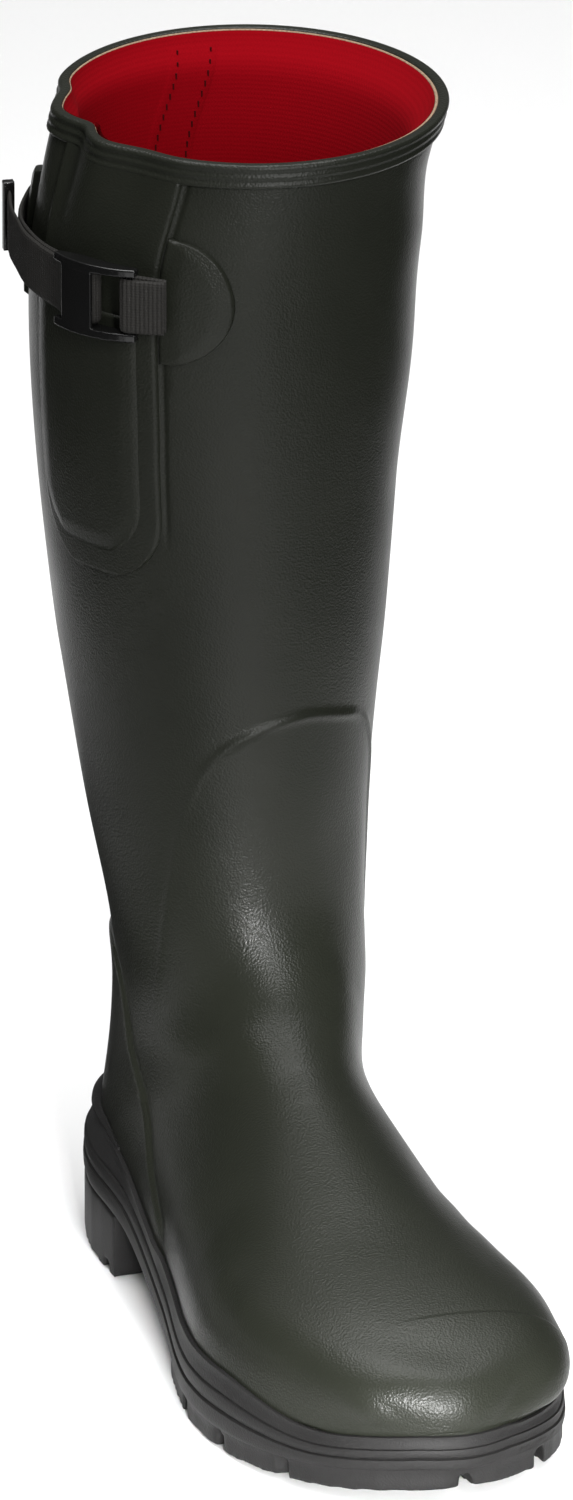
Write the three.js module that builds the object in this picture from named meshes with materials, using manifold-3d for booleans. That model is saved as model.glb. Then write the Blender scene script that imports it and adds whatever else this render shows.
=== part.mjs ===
// A tall insulated rubber hunting boot for the right foot, in millimetres.
// The origin is on the ground under the middle of the heel, with the toe towards -Y, the inner side of
// the leg towards +X and +Z up. The buckled bellows gusset is on the outer side, towards -X.
import * as THREE from "three";
import { mergeVertices } from "three/addons/utils/BufferGeometryUtils.js";
import Module from "manifold-3d";

const wasm = await Module();
wasm.setup();

// ---------- driving dimensions ----------
const bootHeight = 430;
const calfWidth = 134;
const calfDepth = 141;
const ankleWidth = 90;
const ankleDepth = 102;
const ankleHeight = 140;
const legOffset = 11; // how far the leg stands towards the inner side of the heel's middle
const rimLean = 15; // how far the mouth leans towards the inner side above the strap
const toeReach = 266; // from the heel's middle to the tip of the upper
const heelReach = 46; // from the heel's middle to the back of the upper
const ballHalfInner = 54;
const ballHalfOuter = 56;
const heelHalf = 36;
const heelHeight = 34; // the upper's underside at the heel
const ballHeight = 17; // the upper's underside at the ball
const toeSpring = 9; // how far the sole's tip lifts off the ground

// ---------- walls and clearances ----------
const gap = 0.35; // between two pieces that lie on each other
const rubberWall = 2.2;
const stiffenerWall = 1.2;
const neopreneWall = 3.2;
const liningWall = 1.1;
const stiffenerInset = rubberWall + gap;
const neopreneInset = stiffenerInset + stiffenerWall + gap;
const liningInset = neopreneInset + neopreneWall + gap;
const boreInset = liningInset + liningWall;
const overlayWall = 1.3; // a second sheet of rubber on the leg or the foot

// ---------- rim and gusset ----------
const rimBandHeight = 9;
const rimRibs = 3;
const gussetDepth = 159; // from the rim's top to the gusset's round bottom
const gussetMiddle = 26; // degrees from the leg's outer side towards the front
const gussetHalf = 25; // degrees
const padTop = 364;
const padBottom = 280;

// ---------- strap ----------
const strapHeight = 379; // the strap's middle
const webbingWidth = 20;
const webbingThickness = 1.4;
const barRadius = 1.5;
const railThickness = 3;
const tabHeight = 46;

// ---------- sole ----------
const soleEdge = 4.6; // how far the sole stands out past the upper
const midsoleThickness = 5;
const outsolePlate = 3.5;
const randHeight = 13; // how far the rand climbs up the upper
const heelBreast = -44; // the heel block's front
const lugPitch = 34;
const lugChannel = 5;
const archShare = 0.406; // where the forefoot's tread ends, as a share of toeReach
const firstChannel = 0.62; // the rearmost channel across the tread, as a share of toeReach
const toeChannels = [6, 38]; // where channels run out through the toe

const ringSteps = 20; // points around a section of the leg or the foot

// ---------- materials ----------
function paint(color, roughness, metalness = 0) {
  return new THREE.MeshStandardMaterial({ color, roughness, metalness });
}
const rubber = () => paint(0x3a3f37, 0.55);
const soleRubber = () => paint(0x35343a, 0.8);
const webbing = () => paint(0x2a2624, 0.9);
const plastic = () => paint(0x17181a, 0.25);
const redJersey = () => paint(0xb0101f, 0.95);
const neoprene = () => paint(0xb9a98f, 0.9);
const fibreboard = () => paint(0x8a7a5c, 0.9);

const boot = new THREE.Group();

function addPiece(name, geometry, material, parent = boot) {
  const mesh = new THREE.Mesh(geometry, material);
  mesh.name = name;
  parent.add(mesh);
  return mesh;
}

// ---------- solids: joining, cutting, closing ----------
function solidOf(geometry) {
  const plain = geometry.clone();
  plain.deleteAttribute("normal");
  plain.deleteAttribute("uv");
  const merged = mergeVertices(plain, 1e-4);
  const vertProperties = merged.attributes.position.array;
  const triVerts = new Uint32Array(merged.index.array);
  return new wasm.Manifold(new wasm.Mesh({ numProp: 3, vertProperties, triVerts }));
}

function geometryOf(solid) {
  const mesh = solid.getMesh();
  const geometry = new THREE.BufferGeometry();
  geometry.setAttribute("position", new THREE.BufferAttribute(new Float32Array(mesh.vertProperties), 3));
  geometry.setIndex(new THREE.BufferAttribute(new Uint32Array(mesh.triVerts), 1));
  geometry.computeVertexNormals();
  return geometry;
}

const joined = (...pieces) => geometryOf(pieces.map(solidOf).reduce((whole, next) => whole.add(next)));
function cut(body, ...tools) {
  return geometryOf(tools.map(solidOf).reduce((left, tool) => left.subtract(tool), solidOf(body)));
}

// The largest body that a cut leaves, with its offcuts dropped.
function mainBody(geometry) {
  const bodies = solidOf(geometry).decompose();
  return geometryOf(bodies.sort((one, other) => other.volume() - one.volume())[0]);
}

// Two triangles for four corners, split along the shorter diagonal, so that sheets which lie on each
// other are split the same way.
function addQuad(faces, points, a, b, c, d) {
  const isFirstShorter = points[a].distanceTo(points[c]) <= points[b].distanceTo(points[d]);
  faces.push(...(isFirstShorter ? [a, b, c, a, c, d] : [a, b, d, b, c, d]));
}

// Joins two matching grids of points, one under the other, into a closed sheet.
function sheetSolid(low, high) {
  const rows = low.length;
  const across = low[0].length;
  const points = [...low.flat(), ...high.flat()];
  const faces = [];
  const at = (row, step, layer) => layer * rows * across + row * across + step;
  const quad = (...corners) => addQuad(faces, points, ...corners);
  for (let row = 0; row < rows - 1; row++) {
    for (let step = 0; step < across - 1; step++) {
      quad(at(row, step, 1), at(row, step + 1, 1), at(row + 1, step + 1, 1), at(row + 1, step, 1));
      quad(at(row, step, 0), at(row + 1, step, 0), at(row + 1, step + 1, 0), at(row, step + 1, 0));
    }
    quad(at(row, 0, 0), at(row, 0, 1), at(row + 1, 0, 1), at(row + 1, 0, 0));
    quad(at(row, across - 1, 0), at(row + 1, across - 1, 0), at(row + 1, across - 1, 1), at(row, across - 1, 1));
  }
  for (let step = 0; step < across - 1; step++) {
    quad(at(0, step, 0), at(0, step + 1, 0), at(0, step + 1, 1), at(0, step, 1));
    quad(at(rows - 1, step, 0), at(rows - 1, step, 1), at(rows - 1, step + 1, 1), at(rows - 1, step + 1, 0));
  }
  return closedGeometry(points, faces);
}

// Joins closed rings of points into a solid: a torus when the rings close on each other, else a form
// with a flat fan over its first and its last ring.
function skinOf(rings, closed = false) {
  const across = rings[0].length;
  const points = rings.flat();
  const faces = [];
  const at = (ring, step) => (ring % rings.length) * across + (step % across);
  for (let ring = 0; ring < rings.length - (closed ? 0 : 1); ring++) {
    for (let step = 0; step < across; step++) {
      addQuad(faces, points, at(ring, step), at(ring, step + 1), at(ring + 1, step + 1), at(ring + 1, step));
    }
  }
  for (const end of closed ? [] : [0, rings.length - 1]) {
    points.push(rings[end].reduce((sum, point) => sum.add(point), new THREE.Vector3()).divideScalar(across));
    for (let step = 0; step < across; step++) {
      const edge = [at(end, step), at(end, step + 1)];
      faces.push(points.length - 1, ...(end === 0 ? edge.reverse() : edge));
    }
  }
  return closedGeometry(points, faces);
}

// A geometry whose faces point outwards whichever way its rows ran.
function closedGeometry(points, faces) {
  let volume = 0;
  for (let face = 0; face < faces.length; face += 3) {
    const [a, b, c] = [0, 1, 2].map((corner) => points[faces[face + corner]]);
    volume += a.dot(b.clone().cross(c));
  }
  for (let face = 0; volume < 0 && face < faces.length; face += 3) {
    [faces[face + 1], faces[face + 2]] = [faces[face + 2], faces[face + 1]];
  }
  const geometry = new THREE.BufferGeometry().setFromPoints(points);
  geometry.setIndex(faces);
  geometry.computeVertexNormals();
  return geometry;
}

// ---------- the boot's form ----------
const { lerp: mix, clamp, degToRad, smoothstep } = THREE.MathUtils;

// The upper's underside, which everything in the sole follows: high at the heel, low at the ball,
// and lifted at the toe.
const ahead = (share) => -toeReach * share; // a place between the heel's middle (0) and the toe's tip (1)
const toeLift = (y) => toeSpring * clamp((ahead(0.64) - y) / (ahead(0.64) - ahead(1)), 0, 1) ** 2;
const undersideAt = (y) => mix(ballHeight, heelHeight, smoothstep(y, ahead(0.53), ahead(0.075))) + toeLift(y);

// A section joins a point on the shin or instep (front) to one on the calf, heel or sole (back).
// spread is its half width to the inner and the outer side. form is where along it that width falls,
// and how boxy its front and back halves are (2 is an ellipse).
const round = [0.5, 2, 2];
function legSection(height, swell, shift, lean = 0) {
  const depth = mix(ankleDepth, calfDepth, swell) / 2;
  const width = mix(ankleWidth, calfWidth, swell) / 2;
  const middle = legOffset + lean;
  return { front: [shift - depth, height], back: [shift + depth, height], middle, spread: [width, width], form: round };
}

function footSection(frontY, frontZ, backY, middle, inner, outer, form) {
  const back = [backY, undersideAt(backY)];
  return { front: [frontY, frontZ], back, middle, spread: [inner, outer], form };
}

const calfSpan = bootHeight - ankleHeight;
const sections = [
  legSection(bootHeight, 1.05, 7, rimLean),
  legSection(ankleHeight + calfSpan * 0.84, 1, 4, 3),
  legSection(ankleHeight + calfSpan * 0.64, 0.93, 2),
  legSection(ankleHeight + calfSpan * 0.4, 0.7, 0),
  legSection(ankleHeight + calfSpan * 0.18, 0.33, -5),
  // round the ankle the sections fan out from the instep
  { front: [-65, ankleHeight + 4], back: [39, ankleHeight - 18], middle: 12, spread: [45, 44], form: round },
  { front: [-77, 120], back: [heelReach - 3, 88], middle: 12, spread: [43, 41], form: round },
  { front: [-90, 109], back: [heelReach, 58], middle: 9, spread: [heelHalf + 6, heelHalf + 4], form: round },
  footSection(ahead(0.4), 99, heelReach - 10, 6, heelHalf + 6, heelHalf + 3, [0.42, 2, 2.4]),
  footSection(ahead(0.48), 90, ahead(0.083), 4, 45, 42, [0.36, 2, 3.4]),
  footSection(ahead(0.58), 81, ahead(0.31), 3, 49, 49, [0.34, 2, 3.6]),
  footSection(ahead(0.695), 71, ahead(0.535), 3, ballHalfInner, ballHalfOuter, [0.38, 2.1, 3.4]),
  footSection(ahead(0.797), 64, ahead(0.715), 5, ballHalfInner + 1, ballHalfOuter - 2, [0.42, 2.2, 3]),
  footSection(ahead(0.887), 57, ahead(0.85), 8, ballHalfInner - 4, ballHalfOuter - 9, [0.45, 2.3, 2.6]),
  footSection(11 - toeReach, 47, 15 - toeReach, 9, 38, 36, [0.48, 2.3, 2.3]),
  footSection(2 - toeReach, 36, 3 - toeReach, 9, 15, 15, round),
];
const toePlace = sections.length - 1;
const seamPlace = 5; // where the leg's sheet ends and the foot's begins
const curveOf = (pick) => {
  const points = sections.map((section) => new THREE.Vector3(...pick(section)));
  return new THREE.CatmullRomCurve3(points, false, "catmullrom", 0.5);
};
const frontCurve = curveOf((section) => [0, ...section.front]);
const backCurve = curveOf((section) => [0, ...section.back]);
const widthCurve = curveOf((section) => [section.middle, ...section.spread]);
const formCurve = curveOf((section) => section.form);

// A point of the boot's surface at a place along its sections (0 at the rim, toePlace at the toe) and an
// angle round them (0 at the front, a quarter turn at the inner side), sunk inwards by inset.
function surfacePoint(place, angle, inset = 0) {
  const share = clamp(place / toePlace, 0, 1);
  const front = frontCurve.getPoint(share);
  const back = backCurve.getPoint(share);
  const [middle, inner, outer] = widthCurve.getPoint(share).toArray();
  const [widest, frontPower, backPower] = formCurve.getPoint(share).toArray();
  const length = front.distanceTo(back);
  const forward = front.clone().sub(back).divideScalar(length);
  const isFront = Math.cos(angle) >= 0;
  const power = 2 / (isFront ? frontPower : backPower);
  const curved = (value) => Math.sign(value) * Math.abs(value) ** power;
  const reach = length * (isFront ? 1 - widest : widest);
  const side = Math.sin(angle) >= 0 ? inner : outer;
  const along = length * widest + curved(Math.cos(angle)) * Math.max(reach - inset, 0.5);
  const point = back.addScaledVector(forward, along);
  point.x = middle + curved(Math.sin(angle)) * Math.max(side - inset, 0.5);
  return point;
}

// The place whose level section lies at a height of the leg.
const halvings = 30;
const lastLevelPlace = 4;
function placeAt(height) {
  let [low, high] = [0, lastLevelPlace];
  for (let halving = 0; halving < halvings; halving++) {
    const middle = (low + high) / 2;
    if (frontCurve.getPoint(middle / toePlace).z > height) low = middle;
    else high = middle;
  }
  return low;
}

function stepsBetween(first, last, steps) {
  return Array.from({ length: steps + 1 }, (_, step) => mix(first, last, step / steps));
}
const ringAngles = stepsBetween(0, Math.PI * 2, ringSteps).slice(0, -1);
const ringAt = (place, inset) => ringAngles.map((angle) => surfacePoint(place, angle, inset));
const mouthPlace = placeAt(bootHeight - 2.5);

// The nested shells share these places, so that their facets run parallel.
const ankleTop = 3.2;
const legPlaces = [...stepsBetween(mouthPlace, ankleTop, 5), ...stepsBetween(ankleTop, seamPlace, 6).slice(1)];
const footPlaces = stepsBetween(seamPlace, toePlace, 20);
const formPlaces = [...legPlaces, ...footPlaces.slice(1)];
const toeEnd = (inset) => toePlace - inset / 7;
function reaching(places, inset) {
  const end = toeEnd(inset);
  return [...places.filter((place) => place < end - 0.1), Math.min(end, toePlace)];
}

// A shell closed at the toe and open at its first place.
function bootie(outerInset, innerInset, places) {
  const outer = reaching(places, outerInset).map((place) => ringAt(place, outerInset));
  const inner = reaching(places, innerInset).map((place) => ringAt(place, innerInset));
  return skinOf([...outer.reverse(), ...inner]);
}

// A filled form of the foot, for cutting what fits round it or fitting what lies in it.
function filledFoot(inset, places = footPlaces) {
  return skinOf(reaching(places, inset).map((place) => ringAt(place, inset)));
}

// A sheet that lies on the form (or in it, for a positive inset) between two insets. edges gives its
// first and last angle, in radians, at each place.
function patch(places, edges, lowInset, highInset, across) {
  const grid = (inset) =>
    places.map((place) => {
      const [first, last] = edges(place);
      return stepsBetween(first, last, across).map((angle) => surfacePoint(place, angle, inset));
    });
  return sheetSolid(grid(lowInset), grid(highInset));
}

// ---------- leg, foot and what lines them ----------
const legWall = (inset) => legPlaces.map((place) => ringAt(place, inset));
addPiece("leg_shell", skinOf([...legWall(0), ...legWall(rubberWall).reverse()], true), rubber());
const seamGap = 0.02; // in places, about half a millimetre
const vampPlaces = [seamPlace + seamGap, ...footPlaces.slice(1)];
addPiece("foot_shell", bootie(0, rubberWall, vampPlaces), rubber());
addPiece(
  "neoprene_bootie",
  bootie(neopreneInset, neopreneInset + neopreneWall, formPlaces),
  neoprene(),
);
addPiece("lining_sock", bootie(liningInset, boreInset, formPlaces), redJersey());

// Stiffeners lie in the layer between the rubber and the neoprene, on the shells' own facets.
const angleAt = (step) => (step / ringSteps) * Math.PI * 2;
function stiffener(first, last, lowStep, highStep) {
  const places = footPlaces.filter((place) => place >= first && place <= last);
  const edges = () => [angleAt(lowStep), angleAt(highStep)];
  return patch(places, edges, stiffenerInset, stiffenerInset + stiffenerWall, highStep - lowStep);
}
addPiece("heel_stiffener", stiffener(5.6, 7.5, 6, 14), fibreboard());
addPiece("insole_board", stiffener(8.4, 13.5, 8, 12), fibreboard());
addPiece("toe_puff", stiffener(12.4, 14.2, -5, 5), fibreboard());

// Two seam tapes run down the lining, inside the gusset's front and rear edges.
const outerSide = (degrees) => degToRad(degrees - 90); // degrees from the outer side towards the front
function tape(name, degrees) {
  const middle = outerSide(degrees);
  const half = 4.5 / (calfWidth / 2 - boreInset);
  const places = legPlaces.filter((place) => place < placeAt(bootHeight - gussetDepth));
  const sheet = patch(places, () => [middle - half, middle + half], boreInset + 0.8, boreInset + 1.4, 2);
  addPiece(name, sheet, redJersey());
}
tape("lining_tape_front", gussetMiddle + gussetHalf);
tape("lining_tape_rear", gussetMiddle - gussetHalf);

// ---------- rim band ----------
// A rolled band of rubber round the mouth, ribbed on its outside, that hooks over the leg's top edge.
function rimBand() {
  const pitch = rimBandHeight / rimRibs;
  const low = bootHeight - rimBandHeight;
  const profile = [[-gap, low]];
  for (let rib = 0; rib < rimRibs; rib++) {
    const rising = [-1.7, low + pitch * (rib + 0.12)];
    const crest = [-2.4, low + pitch * (rib + 0.5)];
    profile.push(rising, crest, [-1.7, low + pitch * (rib + 0.88)]);
  }
  const hook = bootHeight - 2;
  profile.push([-1, bootHeight], [rubberWall, bootHeight], [rubberWall, hook], [-gap, hook]);
  const rings = ringAngles.map((angle) =>
    profile.map(([inset, height]) => {
      const point = surfacePoint(placeAt(height), angle, inset);
      return point.setZ(height);
    }),
  );
  return skinOf(rings, true);
}
addPiece("rim_band", rimBand(), rubber());

// ---------- gusset ----------
// Half the width of an outline with a straight top and a round bottom, as a share of its full width.
function roundEnd(place, bottom, radius) {
  return Math.sqrt(Math.max(1 - clamp((place - bottom + radius) / radius, 0, 1) ** 2, 0.02));
}
function tongue(top, bottom, middle, half, lowInset, highInset) {
  const [first, last] = [placeAt(top), placeAt(bottom)];
  const radius = placeAt(bottom) - placeAt(bottom + 32);
  const places = [...stepsBetween(first, last - radius, 5), ...stepsBetween(last - radius, last, 7).slice(1)];
  const edges = (place) => {
    const reach = half * roundEnd(place, last, radius);
    return [outerSide(middle - reach), outerSide(middle + reach)];
  };
  return patch(places, edges, lowInset, highInset, 9);
}
const gussetOuter = gap + 1.2;
const rimBottom = bootHeight - rimBandHeight;
addPiece(
  "gusset_panel",
  tongue(rimBottom - gap, bootHeight - gussetDepth, gussetMiddle, gussetHalf, -gap, -gussetOuter),
  rubber(),
);
const padInner = gussetOuter + gap;
addPiece(
  "gusset_pad",
  tongue(padTop, padBottom, gussetMiddle - 2, gussetHalf - 3, -padInner, -padInner - 1.2),
  rubber(),
);

// A patch with one straight edge at startDegrees and a round one that reaches endDegrees.
function roundTab(startDegrees, endDegrees) {
  const half = tabHeight / 2;
  const heights = stepsBetween(-0.96, 0.96, 12).map((share) => strapHeight - share * half);
  const edges = (place) => {
    const height = frontCurve.getPoint(place / toePlace).z;
    const reach = Math.sqrt(Math.max(1 - ((height - strapHeight) / half) ** 2, 0.05));
    return [outerSide(startDegrees), outerSide(mix(startDegrees, endDegrees, reach))];
  };
  return patch(heights.map(placeAt), edges, -gap, -gap - overlayWall, 6);
}
const frontTabStart = gussetMiddle + gussetHalf + 0.6;
const rearTabStart = -22;
addPiece("front_strap_tab", roundTab(frontTabStart, frontTabStart + 22), rubber());
addPiece("rear_strap_tab", roundTab(rearTabStart, rearTabStart - 24), rubber());

// ---------- strap and buckle ----------
// Everything here is a plan outline, drawn round the leg at the strap's height, and as tall as it is.
const strapPlace = placeAt(strapHeight);
function strapPoint(degrees, standoff) {
  const point = surfacePoint(strapPlace, outerSide(degrees), -standoff);
  return new THREE.Vector2(point.x, point.y);
}
const runPoints = (run, steps) => {
  const curve = new THREE.SplineCurve(run.map(([degrees, standoff]) => strapPoint(degrees, standoff)));
  return curve.getSpacedPoints(steps);
};

function upright(shape, height, width) {
  const geometry = new THREE.ExtrudeGeometry(shape, { depth: width, bevelEnabled: false, curveSegments: 8 });
  return geometry.translate(0, 0, height - width / 2);
}

// The outline of a band of webbing along a line of points.
function bandOutline(line, thickness) {
  const sides = [1, -1].map((side) =>
    line.map((point, index) => {
      const before = line[Math.max(index - 1, 0)];
      const after = line[Math.min(index + 1, line.length - 1)];
      const across = after.clone().sub(before).normalize().rotateAround(new THREE.Vector2(), Math.PI / 2);
      return point.clone().addScaledVector(across, (side * thickness) / 2);
    }),
  );
  return new THREE.Shape([...sides[0], ...sides[1].reverse()]);
}
const band = (line) => upright(bandOutline(line, webbingThickness), strapHeight, webbingWidth);

const webbingRest = 1.2; // webbing spans the leg's slight taper, so it lies this far off it
const runStandoff = gussetOuter + webbingRest + webbingThickness / 2; // the middle of what lies on the leg
const turnRadius = barRadius + gap + webbingThickness / 2;
const barStandoff = runStandoff + turnRadius;
const topStandoff = barStandoff + turnRadius;
const endBarDegrees = 43;
const crossBarDegrees = 31;

// A half turn of webbing round a bar, between the run that lies on the leg and the run over it.
function turnPoints(barDegrees, towardsFront) {
  const centre = strapPoint(barDegrees, barStandoff);
  const outward = strapPoint(barDegrees, barStandoff + 1).sub(centre).angle();
  const way = towardsFront ? 1 : -1;
  return stepsBetween(0, Math.PI, 8).map((turn) => {
    const angle = outward + Math.PI - way * turn;
    return centre.clone().add(new THREE.Vector2(Math.cos(angle), Math.sin(angle)).multiplyScalar(turnRadius));
  });
}

// The short front webbing comes from under the tab, round the buckle's end bar and back.
const frontStart = frontTabStart - 0.7;
const besideEndBar = endBarDegrees + 0.5;
const frontReturn = runStandoff + webbingThickness + gap + 0.3;
addPiece(
  "front_webbing",
  band([
    ...runPoints([[frontStart, runStandoff], [besideEndBar, runStandoff]], 4),
    ...turnPoints(endBarDegrees, false).slice(1, -1),
    ...runPoints([[besideEndBar, topStandoff], [frontStart, frontReturn]], 4),
  ]),
  webbing(),
);

// The long strap's run lies over the gusset, from the rear tab to the buckle.
const tabStandoff = gap + overlayWall + webbingRest + webbingThickness / 2;
const underRivet = [-41, -36, -30, rearTabStart].map((degrees) => [degrees, tabStandoff]);
const overGusset = [[-10, runStandoff + 0.2], [8, runStandoff], [26, runStandoff]];
addPiece("strap_run", band(runPoints([...underRivet, ...overGusset], 18)), webbing());

const buckle = new THREE.Group();
boot.add(buckle);
const besideCrossBar = crossBarDegrees - 0.5;
addPiece(
  "strap_turn",
  band([
    ...runPoints([[26.5, runStandoff], [besideCrossBar, runStandoff]], 2),
    ...turnPoints(crossBarDegrees, true).slice(1, -1),
    ...runPoints([[besideCrossBar, topStandoff], [28, topStandoff]], 2),
  ]),
  webbing(),
  buckle,
);

// The buckle is one moulding: two arched rails, an end bar, a cross bar and a thumb plate over the strap.
function buckleFrame() {
  const plateLow = topStandoff + webbingThickness / 2 + 0.5;
  const plateTop = plateLow + 1.6;
  const arch = (from, to, low, high) => {
    const degrees = stepsBetween(from, to, 12);
    const lowEdge = degrees.map((place) => strapPoint(place, low(place)));
    const highEdge = degrees.map((place) => strapPoint(place, high(place)));
    return new THREE.Shape([...lowEdge, ...highEdge.reverse()]);
  };
  const railLow = (degrees) => barStandoff - 1.4 + 3.2 * clamp((26 - degrees) / 6, 0, 1);
  const archShare = (degrees) => Math.sin(Math.PI * clamp((46 - degrees) / 33, 0, 1)) ** 0.8;
  const railTop = (degrees) => mix(barStandoff + 1.9, plateTop + 0.3, archShare(degrees));
  const railHeight = (webbingWidth + railThickness) / 2 + 0.6;
  const railOutline = arch(20, 45.5, railLow, railTop);
  const rails = [1, -1].map((side) => upright(railOutline, strapHeight + side * railHeight, railThickness));
  const span = 2 * railHeight + 1;
  const bars = [endBarDegrees, crossBarDegrees].map((degrees) => {
    const centre = strapPoint(degrees, barStandoff);
    const bar = new THREE.CylinderGeometry(barRadius, barRadius, span, 24).rotateX(Math.PI / 2);
    return bar.translate(centre.x, centre.y, strapHeight);
  });
  const plate = upright(arch(23.5, 33.5, () => plateLow, () => plateTop), strapHeight, span);
  return joined(...rails, ...bars, plate);
}
addPiece("buckle_frame", buckleFrame(), plastic(), buckle);

// The tail leaves the buckle over the run; its last stretch bends outwards to a moulded end stop.
const tailStandoff = runStandoff + webbingThickness + 0.45;
const tailEnd = -14;
const tail = new THREE.Group();
buckle.add(tail);
const leavingBuckle = [[27.6, topStandoff], [23, topStandoff - 0.6], [16, tailStandoff + 0.5]];
const overRun = [[8, tailStandoff], [-3, tailStandoff], [tailEnd, tailStandoff + 0.1]];
addPiece("strap_tail", band(runPoints([...leavingBuckle, ...overRun], 16)), webbing(), tail);
const endRun = [[tailEnd - 0.5, 0.2], [-21, 1.6], [-27, 4], [-33, 7.4]].map(([degrees, lift]) => [
  degrees,
  tailStandoff + lift,
]);
const tailTip = new THREE.Group();
tail.add(tailTip);
addPiece("strap_tip", band(runPoints(endRun, 8)), webbing(), tailTip);
function endStop() {
  const line = runPoints([[-33.4, tailStandoff + 7.7], [-35.6, tailStandoff + 9.2]], 2);
  return upright(bandOutline(line, 4.2), strapHeight, webbingWidth + 6);
}
addPiece("strap_end_stop", endStop(), plastic(), tailTip);

// A rivet holds the run to the rear tab.
function rivet() {
  const from = strapPoint(-36, tabStandoff + webbingThickness / 2 + gap);
  const out = strapPoint(-36, tabStandoff + 5).sub(from).normalize();
  const head = new THREE.CylinderGeometry(3.2, 3.8, 1.3, 20).translate(0, 0.65, 0);
  const axis = new THREE.Vector3(out.x, out.y, 0);
  const turn = new THREE.Quaternion().setFromUnitVectors(new THREE.Vector3(0, 1, 0), axis);
  return head.applyQuaternion(turn).translate(from.x, from.y, strapHeight);
}
addPiece("rear_tab_rivet", rivet(), paint(0x9a9a98, 0.35, 0.9));

// ---------- sole ----------
// The sole's plan outline, set out past the upper by soleEdge and then by any extra.
function soleOutline(extra = 0) {
  const edge = soleEdge + extra;
  const corners = [
    [8, -toeReach - edge],
    [40 + edge, 16 - toeReach],
    [ballHalfInner + 4 + edge, ahead(0.797)],
    [ballHalfInner + 3 + edge, ahead(0.647)],
    [46 + edge, ahead(0.42)],
    [heelHalf + 5 + edge, -50],
    [heelHalf + 3 + edge, 0],
    [25 + edge, heelReach - 10],
    [4, heelReach + edge],
    [-20 - edge, heelReach - 11],
    [-heelHalf + 1.5 - edge, 0],
    [-heelHalf - 1 - edge, -50],
    [-44 - edge, ahead(0.395)],
    [-ballHalfOuter + 1 - edge, ahead(0.62)],
    [-ballHalfOuter + 8 - edge, ahead(0.797)],
    [-26 - edge, 14 - toeReach],
  ];
  const points = corners.map(([x, y]) => new THREE.Vector3(x, y, 0));
  return new THREE.CatmullRomCurve3(points, true, "catmullrom", 0.5);
}

// A slab of the outline between two heights, each a function of y. It is laid out in rungs across the
// foot, from the toe to the heel, and can stop at a y on either side.
function slab(extra, lowAt, highAt, toeY = -Infinity, heelY = Infinity, rungs = 30) {
  const outline = soleOutline(extra);
  const pairs = stepsBetween(0, 0.5, rungs)
    .slice(1, -1)
    .map((share) => [outline.getPoint(share), outline.getPoint(1 - share)])
    .filter(([inner, outer]) => Math.min(inner.y, outer.y) > toeY && Math.max(inner.y, outer.y) < heelY);
  const grid = (heightAt) =>
    pairs.map(([inner, outer]) =>
      stepsBetween(0, 1, 4).map((share) => {
        const point = inner.clone().lerp(outer, share);
        return point.setZ(heightAt(point.y));
      }),
    );
  return sheetSolid(grid(lowAt), grid(highAt));
}
const below = (depth) => (y) => undersideAt(y) - depth;
// Cutting tools that leave the gap all round the upper, past its toe as well.
const footGap = 0.6;
const toeTool = filledFoot(-footGap, footPlaces.slice(-6)).translate(0, -gap, 0);
const footClearance = [filledFoot(-footGap), toeTool];
function block(width, length, height, x, y, z) {
  return new THREE.BoxGeometry(width, length, height).translate(x, y, z);
}

const midsoleLow = gap + midsoleThickness;
const plateHigh = midsoleLow + gap;
const plateLow = plateHigh + outsolePlate;

// The shank lies in a groove under the midsole's waist, and the heel cushion in a pocket at its top.
const shankSize = { width: 14, length: 96, thickness: 1.4 };
const shankY = -68;
function shankBar(grow) {
  const { width, length, thickness } = shankSize;
  const lines = stepsBetween(-length / 2 - grow, length / 2 + grow, 8).map((along) => shankY + along);
  const corner = (side, y, depth) => new THREE.Vector3(2 + side * (width / 2 + grow), y, undersideAt(y) - depth);
  const row = (depth) => lines.map((y) => [corner(-1, y, depth), corner(1, y, depth)]);
  return sheetSolid(row(midsoleLow + grow * 2), row(midsoleLow - thickness - grow));
}
const cushion = { radius: 21, thickness: 2.6, x: 4, y: 6 };
function disc(radius, low, high) {
  const round = new THREE.CylinderGeometry(radius, radius, high - low, 24).rotateX(Math.PI / 2);
  return round.translate(cushion.x, cushion.y, (low + high) / 2);
}
const cushionTop = heelHeight - 1.5;
const cushionLow = cushionTop - cushion.thickness;
const cushionPocket = disc(cushion.radius + gap, cushionLow - gap, cushionTop + 2);
const midsoleSlab = slab(-soleEdge, below(midsoleLow), below(-2));
addPiece(
  "midsole",
  mainBody(cut(midsoleSlab, ...footClearance, shankBar(gap), cushionPocket)),
  paint(0x4a4a48, 0.9),
);
addPiece("shank", shankBar(0), paint(0x9fa2a6, 0.4, 0.95));
addPiece("heel_cushion", disc(cushion.radius, cushionLow, cushionTop), paint(0xb8973a, 0.8));

// The outsole is a plate that follows the underside, with forefoot lugs cut apart by channels.
function outsole() {
  const plate = slab(0, below(plateLow), below(plateHigh));
  const tread = slab(-0.6, toeLift, below(plateLow - 0.5), -Infinity, ahead(archShare));
  const channels = [];
  const topAt = (y) => ballHeight - plateLow + toeLift(y) - 0.6;
  for (let y = ahead(firstChannel); y > ahead(0.9); y -= lugPitch) {
    const top = topAt(y);
    for (const side of [-1, 1]) {
      const channel = block(80, lugChannel, top + 4, side * 40, 0, top / 2 - 2).rotateZ(side * 0.16);
      channels.push(channel.translate(5, y, 0));
    }
  }
  for (const x of toeChannels) {
    const top = topAt(ahead(0.95));
    channels.push(block(lugChannel, 40, top + 4, x, ahead(1) + 8, top / 2 - 2));
  }
  return mainBody(cut(joined(plate, tread), ...channels));
}
addPiece("outsole", outsole(), soleRubber());

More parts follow.
